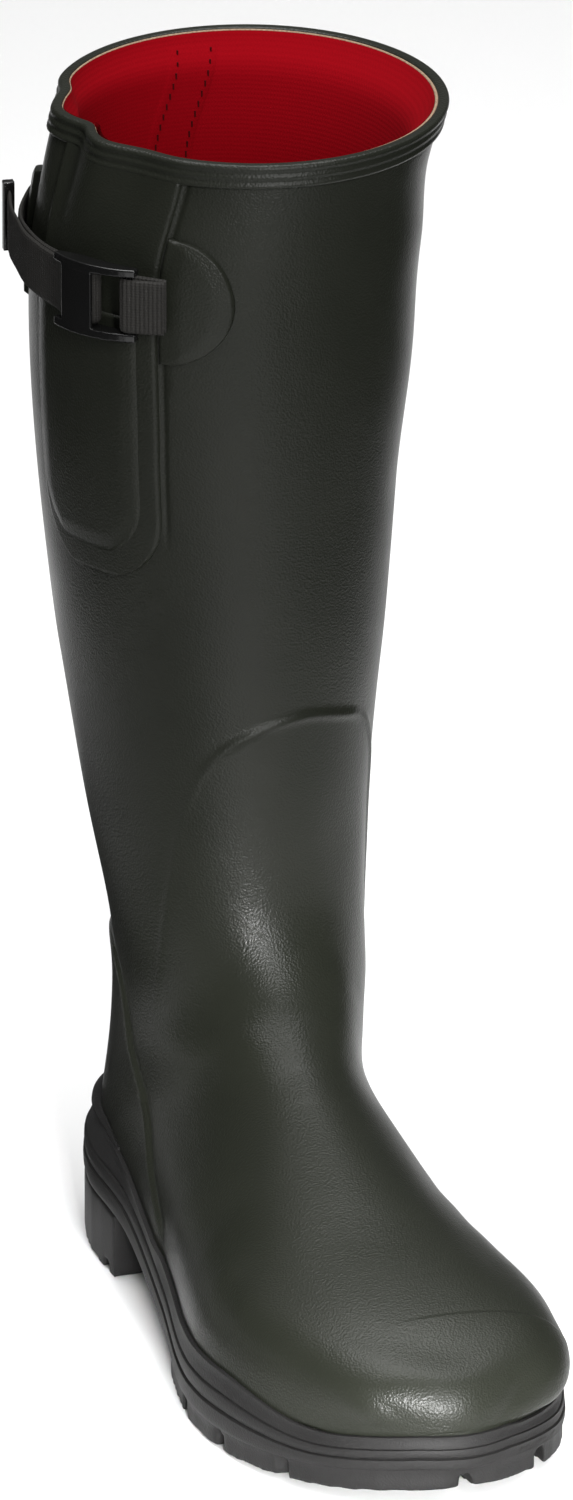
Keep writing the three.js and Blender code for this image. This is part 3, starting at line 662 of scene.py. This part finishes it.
wire(knit, (thread, wales.inputs["Vector"]), (thread, courses.inputs["Vector"]),
     (wales.outputs["Fac"], loops.inputs[0]), (courses.outputs["Fac"], loops.inputs[1]),
     (loops.outputs["Value"], pile.inputs[0]), (fuzz.outputs["Fac"], pile.inputs[1]),
     (pile.outputs["Value"], knit_bump.inputs["Height"]),
     (knit_bump.outputs["Normal"], cloth_shader.inputs["Normal"]),
     (fuzz.outputs["Fac"], red.inputs["Factor"]), (red.outputs["Result"], cloth_shader.inputs["Base Color"]))
dress(lining, jersey, "red_jersey", "boot", "lining_sock", "footbed")

# The jersey's rear seam lies under a tape sewn down with two rows of stitches.
inner_wall = wall_finder(lining)


def on_lining(degrees, height, lift):
    middle = leg_middle(min(height, 0.425))
    middle.z = height
    turn = math.radians(degrees)
    hit, _, _, _ = inner_wall.ray_cast(middle, Vector((-math.cos(turn), -math.sin(turn), 0)))
    return hit + (middle - hit).normalized() * lift if hit else None


TAPE_TOP, TAPE_FOOT = 0.4262, 0.250
TAPE_MIDDLE, TAPE_REACH = -91.5, 8.5  # degrees round the leg
bpy.ops.object.select_all(action="DESELECT")
bpy.ops.mesh.primitive_grid_add(x_subdivisions=14, y_subdivisions=70, size=2)
tape = bpy.context.active_object
tape.name = tape.data.name = "seam_tape"
for vertex in tape.data.vertices:
    side, up = vertex.co.x, vertex.co.y
    hem = 1 - ramp(abs(side), 0.90, 1.0)
    height = TAPE_FOOT + (TAPE_TOP - TAPE_FOOT) * (up + 1) / 2
    vertex.co = on_lining(TAPE_MIDDLE + TAPE_REACH * side, height, (-0.2 + 0.75 * hem) * MM)
only(tape)
bpy.ops.object.shade_smooth()
dress(tape, jersey, "red_jersey", "boot", "lining_tape_rear")
stitches = []
STITCH_TOP, STITCH_PITCH = 0.4235, 3.6 * MM
for row in (-97.5, -86.5):
    for step in range(44):
        bpy.ops.mesh.primitive_cylinder_add(vertices=8, radius=0.33 * MM, depth=2.2 * MM)
        stitch = bpy.context.active_object
        stitch.data.transform(Matrix.Translation(on_lining(row, STITCH_TOP - step * STITCH_PITCH, 0.62 * MM)))
        stitches.append(stitch)
bpy.ops.object.select_all(action="DESELECT")
for stitch in stitches:
    stitch.select_set(True)
bpy.context.view_layer.objects.active = stitches[0]
bpy.ops.object.join()
stitching = bpy.context.active_object
stitching.name = stitching.data.name = "seam_stitches"
dark_thread = rubber_material("dark_red_thread", (0.045, 0.0010, 0.0015), (0.070, 0.0015, 0.0025),
                              0.7, 0.8, 0.05 * MM, 2600.0, 0.1)
dress(stitching, dark_thread, "red_jersey", "boot", "lining_tape_front")

# ---------- rim band ----------
# A moulded rubber band, ribbed three times, is rolled on round the mouth. It is plain over the bellows.
rim = merged_copy("rim_band", "rim_band_rolled")
rim_shape = bmesh.new()
rim_shape.from_mesh(rim.data)
bmesh.ops.join_triangles(rim_shape, faces=rim_shape.faces, angle_face_threshold=0.7, angle_shape_threshold=1.3)
rim_shape.to_mesh(rim.data)
rim_shape.free()
finish_with(rim, "SUBSURF", levels=3, render_levels=3)
bpy.ops.object.shade_smooth()
for vertex in rim.data.vertices:
    out = vertex.co - leg_middle(vertex.co.z)
    out.z = 0
    vertex.co += out.normalized() * 0.9 * MM
pinch_all(rim)
dress(rim, olive_rubber, "green_rubber", "boot", "rim_band")

# The neoprene's cut edge shows as a thin beige line between the band and the lining.
EDGE_STEPS = 144
edge_points = [on_leg(step * 360 / EDGE_STEPS - 180, 0.4285, -2.3 * MM) for step in range(EDGE_STEPS)]
edge_curve = bpy.data.curves.new("neoprene_edge", "CURVE")
edge_curve.dimensions = "3D"
edge_curve.bevel_depth = 0.60 * MM
edge_curve.bevel_resolution = 3
edge_spline = edge_curve.splines.new("POLY")
edge_spline.points.add(len(edge_points) - 1)
for spot, point in zip(edge_spline.points, edge_points):
    spot.co = (point.x, point.y, 0.4288, 1)
edge_spline.use_cyclic_u = True
edge = bpy.data.objects.new("neoprene_edge", edge_curve)
bpy.context.scene.collection.objects.link(edge)
only(edge)
bpy.ops.object.convert(target="MESH")
edge = bpy.context.active_object
pinch_all(edge)
bpy.ops.object.shade_smooth()
foam = bpy.data.materials.new("beige_neoprene")
foam.use_nodes = True
cells = add_node(foam.node_tree, "TexVoronoi", Scale=2200.0)
foam_tone = add_node(foam.node_tree, "Mix", data_type="RGBA")
foam_tone.inputs["A"].default_value = (0.16, 0.10, 0.06, 1)
foam_tone.inputs["B"].default_value = (0.34, 0.24, 0.16, 1)
foam_bump = add_node(foam.node_tree, "Bump", Strength=0.7, Distance=0.2 * MM)
wire(foam.node_tree, (cells.outputs["Distance"], foam_tone.inputs["Factor"]),
     (foam_tone.outputs["Result"], foam.node_tree.nodes["Principled BSDF"].inputs["Base Color"]),
     (cells.outputs["Distance"], foam_bump.inputs["Height"]),
     (foam_bump.outputs["Normal"], foam.node_tree.nodes["Principled BSDF"].inputs["Normal"]))
foam.node_tree.nodes["Principled BSDF"].inputs["Roughness"].default_value = 0.9
dress(edge, foam, "neoprene", "boot", "neoprene_bootie")

# ---------- sheets on the leg ----------
# The bellows panel, its raised pad and the two strap tabs are cut flat from rubber sheet, skived at
# their edges and cemented round the leg.
def flat_sheet(name, columns, rows, outline, thickness, crown=0.0, soft=1.2 * MM):
    """A sheet laid out in degrees round the leg (x), height (y) and lift (z), then wrapped round the leg."""
    bpy.ops.object.select_all(action="DESELECT")
    bpy.ops.mesh.primitive_grid_add(x_subdivisions=columns, y_subdivisions=rows, size=2)
    sheet = bpy.context.active_object
    sheet.name = sheet.data.name = name
    made = bmesh.new()
    made.from_mesh(sheet.data)
    for vertex in made.verts:
        degrees, height, inwards = outline(vertex.co.x, vertex.co.y)
        lift = thickness * min(1.0, (inwards / soft)) ** 0.5 if inwards < soft else thickness
        lift += crown * ramp(inwards, 0, 9 * MM)
        vertex.co = Vector((degrees, height, lift))
    edge_ring = [edge for edge in made.edges if edge.is_boundary]
    hem = bmesh.ops.extrude_edge_only(made, edges=edge_ring)["geom"]
    for vertex in (part for part in hem if isinstance(part, bmesh.types.BMVert)):
        vertex.co.z = -0.8 * MM
    for vertex in made.verts:
        vertex.co = on_leg(vertex.co.x, vertex.co.y, vertex.co.z)
    bmesh.ops.recalc_face_normals(made, faces=made.faces)
    middles = [face.calc_center_median() for face in made.faces]
    outward = sum(face.normal.dot(middle - leg_middle(middle.z)) for face, middle in zip(made.faces, middles))
    if outward < 0:
        bmesh.ops.reverse_faces(made, faces=made.faces)
    made.to_mesh(sheet.data)
    made.free()
    only(sheet)
    bpy.ops.object.shade_smooth()
    return sheet


ARC = 1.17 * MM  # a degree of the leg's girth


def tongue_outline(middle, half, top, bottom, corner):
    """A tongue with a straight top, whose lower corners are rounded by drawing its columns in."""
    def outline(side, up):
        height = bottom + (top - bottom) * (up + 1) / 2
        rise = height - bottom
        reach = half * ARC
        if rise <= corner:
            reach += math.sqrt(max(corner ** 2 - (corner - rise) ** 2, (0.02 * corner) ** 2)) - corner
        return middle + side * reach / ARC, height, min((1 - abs(side)) * reach, rise)
    return outline


panel = flat_sheet("bellows_panel", 60, 110, tongue_outline(26, 25, 0.4225, 0.271, 26 * MM), 1.5 * MM)
pinch_all(panel)
dress(panel, olive_rubber, "green_rubber", "boot", "gusset_panel")
pad = flat_sheet("bellows_pad", 60, 90, tongue_outline(24, 22, 0.372, 0.280, 22 * MM), 2.0 * MM,
                 crown=1.0 * MM, soft=3 * MM)
dress(pad, olive_rubber, "green_rubber", "boot", "gusset_pad")


STRAP_HEIGHT = 0.379
TAB_TALL, TAB_THICK, TAB_CROWN = 46 * MM, 1.7 * MM, 0.8 * MM


def tab_outline(start, reach):
    """A D with its straight side at start, and its round side reach degrees away."""
    def outline(side, up):
        far = math.sqrt(max(1 - up * up, 0.0004))
        share = (side + 1) / 2
        width = abs(reach) * ARC * far
        inwards = min((1 - share) * width, (1 - abs(up)) * TAB_TALL, share * width)
        return start + reach * far * share, STRAP_HEIGHT + up * TAB_TALL / 2, inwards
    return outline


for name, start, reach, node in (("front_tab", 51.4, 22.5, "front_strap_tab"),
                                 ("rear_tab", -22, -24, "rear_strap_tab")):
    tab = flat_sheet(name, 50, 50, tab_outline(start, reach), TAB_THICK, crown=TAB_CROWN)
    dress(tab, olive_rubber, "green_rubber", "boot", node)

# ---------- strap ----------
# One 20 mm polypropylene webbing, woven with heavy cross ribs, runs from the rear tab over the bellows,
# round the buckle's cross bar and back. A short piece holds the buckle to the front tab.
LEG_AT_STRAP = (13.40, 3.79, 66.9, 70.4)  # the leg's middle and half widths at the strap, in millimetres


def strap_place(degrees, standoff):
    x, y, wide, deep = LEG_AT_STRAP
    turn = math.radians(degrees)
    return Vector((x - (wide + standoff) * math.cos(turn), y - (deep + standoff) * math.sin(turn), 0)) * MM


def strap_line(stations):
    """A smooth line through places round the leg, given as degrees and the stand-off in millimetres."""
    return smooth_line([place if isinstance(place, Vector) else strap_place(*place) for place in stations], 24)


def along(path, run):
    """The place at a length along a path, and the way that the path runs there."""
    for first, last in zip(path, path[1:]):
        length = (last - first).length
        if run <= length:
            return first.lerp(last, run / length), (last - first).normalized()
        run -= length
    return path[-1], (path[-1] - path[-2]).normalized()


RIB, RIB_HEIGHT = 1.55 * MM, 0.44 * MM
WEB_HALF, WEB_THICK = 10 * MM, 1.4 * MM
SELVEDGE = 0.86  # the share of the half width where the edge begins to thin


def webbing_piece(name, path):
    length = sum((last - first).length for first, last in zip(path, path[1:]))
    columns = max(8, round(length / RIB) * 6)
    bpy.ops.object.select_all(action="DESELECT")
    bpy.ops.mesh.primitive_grid_add(x_subdivisions=columns, y_subdivisions=16, size=2)
    web = bpy.context.active_object
    web.name = web.data.name = name
    made = bmesh.new()
    made.from_mesh(web.data)
    back = bmesh.ops.duplicate(made, geom=made.faces[:])["geom"]
    fronts = set(made.verts) - {part for part in back if isinstance(part, bmesh.types.BMVert)}
    bmesh.ops.reverse_faces(made, faces=[part for part in back if isinstance(part, bmesh.types.BMFace)])
    for vertex in made.verts:
        side = 1 if vertex in fronts else -1
        run = (vertex.co.x + 1) / 2 * length
        up = vertex.co.y
        rib = abs(math.sin(math.pi * run / RIB))
        selvedge = math.sqrt(max(0.0, 1 - max(0.0, (abs(up) - SELVEDGE) / (1 - SELVEDGE)) ** 2))
        bead = 0.05 * MM * math.sin(up * 52 + (round(run / RIB) % 2) * math.pi)
        half = (WEB_THICK / 2 - 0.34 * MM + RIB_HEIGHT * rib + bead * rib) * (0.25 + 0.75 * selvedge)
        spot, way = along(path, run)
        outward = Vector((-way.y, way.x, 0))
        if outward.dot(spot - Vector((0.0134, 0.0038, 0))) < 0:
            outward = -outward
        vertex.co = spot + outward * side * half + Vector((0, 0, STRAP_HEIGHT + up * WEB_HALF))
    rims = [edge for edge in made.edges if edge.is_boundary]
    bmesh.ops.bridge_loops(made, edges=rims)
    bmesh.ops.recalc_face_normals(made, faces=made.faces)
    made.to_mesh(web.data)
    made.free()
    only(web)
    bpy.ops.object.shade_smooth()
    return web


def half_turn(degrees, standoff, radius, towards_front):
    """The half circle that the webbing makes round a bar."""
    middle = strap_place(degrees, standoff)
    out = (strap_place(degrees, standoff + 1) - middle).normalized()
    side = Vector((out.y, -out.x, 0)) * (-1 if towards_front else 1)
    turns = [math.pi * step / 6 for step in range(7)]
    return [middle + radius * MM * (-out * math.cos(turn) + side * math.sin(turn)) for turn in turns]


# Stand-offs from the leg in millimetres: the strap below, the buckle's bar, the turned end above, the tail.
RUN, BAR, TOP, TAIL = 3.45, 6.0, 8.55, 5.3
TURN_RADIUS = 2.55
weave = bpy.data.materials.new("ribbed_webbing")
weave.use_nodes = True
yarn = weave.node_tree
yarn_place = add_node(yarn, "TexCoord")
strands = add_node(yarn, "TexWave", wave_type="BANDS", bands_direction="Z", Scale=320.0, Distortion=2.0,
                   Detail=2.0)
hair = add_node(yarn, "TexNoise", Scale=3000.0, Detail=3.0)
lint = add_node(yarn, "Math", operation="ADD")
yarn_bump = add_node(yarn, "Bump", Strength=0.7, Distance=0.12 * MM)
yarn_tone = add_node(yarn, "Mix", data_type="RGBA")
yarn_tone.inputs["A"].default_value = (0.008, 0.0076, 0.0070, 1)
yarn_tone.inputs["B"].default_value = (0.026, 0.0245, 0.022, 1)
yarn_shader = yarn.nodes["Principled BSDF"]
yarn_shader.inputs["Roughness"].default_value = 0.72
yarn_shader.inputs["Specular IOR Level"].default_value = 0.25
wire(yarn, (yarn_place.outputs["Object"], strands.inputs["Vector"]),
     (yarn_place.outputs["Object"], hair.inputs["Vector"]),
     (strands.outputs["Fac"], lint.inputs[0]), (hair.outputs["Fac"], lint.inputs[1]),
     (lint.outputs["Value"], yarn_bump.inputs["Height"]),
     (yarn_bump.outputs["Normal"], yarn_shader.inputs["Normal"]),
     (hair.outputs["Fac"], yarn_tone.inputs["Factor"]),
     (yarn_tone.outputs["Result"], yarn_shader.inputs["Base Color"]))

front_web = webbing_piece("front_web", strap_line(
    [(53.5, RUN), (43.5, RUN), *half_turn(43, BAR, TURN_RADIUS, False)[1:-1], (43.5, TOP), (48, 7.2),
     (53.5, 5.9)]))
dress(front_web, weave, "webbing", "boot", "front_webbing")
run_web = webbing_piece("run_web", strap_line(
    [(-42, 3.6), (-36, 3.6), (-22, 3.6), (-10, RUN + 0.2), (8, RUN), (26, RUN)]))
dress(run_web, weave, "webbing", None, "strap_run")
turn_web = webbing_piece("turn_web", strap_line(
    [(26.2, RUN), (30.5, RUN), *half_turn(31, BAR, TURN_RADIUS, True)[1:-1], (30.5, TOP), (27.8, TOP)]))
dress(turn_web, weave, "webbing", "buckle", "strap_turn")
tail_web = webbing_piece("tail_web", strap_line(
    [(27.7, TOP), (23, TOP - 0.6), (16, TAIL + 0.5), (8, TAIL), (-3, TAIL), (-14.2, TAIL + 0.1)]))
dress(tail_web, weave, "webbing", None, "strap_tail")
tip_web = webbing_piece("tip_web", strap_line(
    [(-14.3, TAIL + 0.12), (-21, TAIL + 1.4), (-27, TAIL + 2.6), (-33.2, TAIL + 4.2)]))
dress(tip_web, weave, "webbing", None, "strap_tip")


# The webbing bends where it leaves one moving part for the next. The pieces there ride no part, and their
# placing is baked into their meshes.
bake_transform(run_web)
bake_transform(tail_web)
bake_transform(tip_web)

# ---------- buckle ----------
# A glossy black acetal ladder buckle, moulded in one piece, with the strap's moulded end stop and the
# rivet that holds the strap to the rear tab.
def moulded(node, name, voxel, passes):
    piece = merged_copy(node, name)
    finish_with(piece, "REMESH", mode="VOXEL", voxel_size=voxel)
    finish_with(piece, "SMOOTH", factor=0.5, iterations=passes)
    only(piece)
    bpy.ops.object.shade_smooth()
    return piece


gloss_black = rubber_material("gloss_black_acetal", (0.004, 0.004, 0.004), (0.007, 0.007, 0.007),
                              0.14, 0.24, 0.008 * MM, 1800.0, 0.45)
buckle = moulded("buckle_frame", "ladder_buckle", 0.35 * MM, 6)
dress(buckle, gloss_black, "buckle_plastic", "buckle", "buckle_frame")
end_stop = moulded("strap_end_stop", "end_stop", 0.35 * MM, 8)
towards_leg, drawn_in = Vector((0.837, -0.548, 0)), 3.3 * MM  # the free end hugs the leg
for vertex in end_stop.data.vertices:
    vertex.co += towards_leg * drawn_in
dress(end_stop, gloss_black, "buckle_plastic", "strap_tip", "strap_end_stop")

steel = rubber_material("rivet_steel", (0.35, 0.35, 0.33), (0.5, 0.5, 0.48), 0.25, 0.4, 0.01 * MM, 1500.0)
steel.node_tree.nodes["Principled BSDF"].inputs["Metallic"].default_value = 1.0
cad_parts["rear_tab_rivet"].data.materials[0] = steel

# ---------- sole ----------
# Black moulded rubber: a ribbed rand cemented round the foot, a kick-off lip at the heel, a lugged
# forefoot and a separate heel block. The rand hides the midsole and shank, which aren't made here.
sole_rubber = rubber_material("sole_rubber", (0.0085, 0.0082, 0.0082), (0.0140, 0.0136, 0.0134),
                              0.50, 0.68, 0.11 * MM, 1500.0, 0.18)
foot_wall = wall_finder(skin)


def upper_face(point, outward, height):
    """How far out from the sole's outline the upper's face stands at a height."""
    place, way = Vector((point.x, point.y, height)), Vector((outward.x, outward.y, 0))
    hit, _, _, _ = foot_wall.ray_cast(place + way * 0.03, -way)
    return (hit - place).dot(way) if hit else -6 * MM


def swept(name, stations, profile, closed):
    """A solid swept along the sole's outline: profile gives (out, height) corners at each station."""
    made = bmesh.new()
    rings = []
    for point, outward in stations:
        rings.append([made.verts.new((point.x + outward.x * out, point.y + outward.y * out, height))
                      for out, height in profile(point, outward)])
    pairs = list(zip(rings, rings[1:])) + ([(rings[-1], rings[0])] if closed else [])
    for ring, following in pairs:
        for index in range(len(ring)):
            after = (index + 1) % len(ring)
            made.faces.new((ring[index], ring[after], following[after], following[index]))
    if not closed:
        made.faces.new(rings[0])
        made.faces.new(rings[-1][::-1])
    bmesh.ops.recalc_face_normals(made, faces=made.faces)
    shape = bpy.data.meshes.new(name)
    made.to_mesh(shape)
    made.free()
    piece = bpy.data.objects.new(name, shape)
    bpy.context.scene.collection.objects.link(piece)
    only(piece)
    bpy.ops.object.shade_smooth_by_angle(angle=math.radians(50))
    return piece


# The rand's face from foot to top: the share of its height, and how far it stands out in millimetres. Two
# grooves part it into three bands.
RAND_FACE = [(0.0, -0.8), (0.03, 0.0), (0.10, 0.35), (0.22, 0.45), (0.33, 0.30), (0.345, -0.5), (0.36, -0.7),
             (0.375, -0.35), (0.42, 0.0), (0.50, 0.1), (0.58, 0.0), (0.62, -0.2), (0.635, -1.1), (0.655, -1.2),
             (0.67, -0.7), (0.72, -0.65), (0.80, -0.9), (0.88, -1.3), (0.94, -1.9), (0.98, -2.6)]
RAND_BELOW, TOE_RIB_DEPTH, TOE_RIB_PITCH, RAND_OVER_FOOT = 9.3 * MM, 0.45, 4.1 * MM, 1.7


def rand_profile(point, outward):
    low, high = underside(point.y) - RAND_BELOW, rand_top(point.y)
    tall = high - low
    toe_ribs = ramp(-point.y, 0.225, 0.250) * ramp(point.x, 0.010, 0.030)
    face = upper_face(point, outward, high)
    flush = face / MM + RAND_OVER_FOOT
    corners = []
    for share, out in RAND_FACE:
        lean = ramp(share, 0.62, 1.0)
        ripple = -TOE_RIB_DEPTH * toe_ribs * (1 - math.cos(share * tall / TOE_RIB_PITCH * 2 * math.pi))
        corners.append(((out * (1 - lean) + flush * lean + ripple) * MM, low + share * tall))
    corners += [(face + 0.9 * MM, high), (face - 1.0 * MM, high - 0.6 * MM), (face - 1.5 * MM, high - 6 * MM),
                (-9 * MM, low + 4 * MM), (-9 * MM, low)]
    return corners


rand = swept("foxing_rand", stations_round(320), rand_profile, True)
dress(rand, sole_rubber, "sole_rubber", "boot", "rand", "midsole", "shank", "heel_cushion")


def lip_profile(point, outward):
    """The lip stands out by 1 mm at its ends and by 4 mm at the back of the heel."""
    reach = 1.0 + 3.0 * ramp(point.y, -0.030, 0.036)
    low, high = rand_top(point.y) - 0.5 * MM, rand_top(point.y) + reach * MM
    tall = high - low
    face = upper_face(point, outward, (low + high) / 2) / MM
    return [((face - 1) * MM, low), ((face + reach * 0.8) * MM, low), ((face + reach) * MM, low + 0.3 * tall),
            ((face + reach * 0.95) * MM, low + 0.6 * tall), ((face + reach * 0.6) * MM, low + 0.85 * tall),
            ((face + 0.6) * MM, high), ((face - 1) * MM, high - 0.3 * MM)]


lip = swept("kick_lip", [place for place in stations_round(320) if place[0].y > -0.028], lip_profile, False)
dress(lip, sole_rubber, "sole_rubber", "boot", "kick_spur")
for node, name, voxel in (("outsole", "lugged_outsole", 1.1), ("heel_block", "heel_lift", 0.9)):
    tread = moulded(node, name, voxel * MM, 3)
    dress(tread, sole_rubber, "sole_rubber", "boot", node)
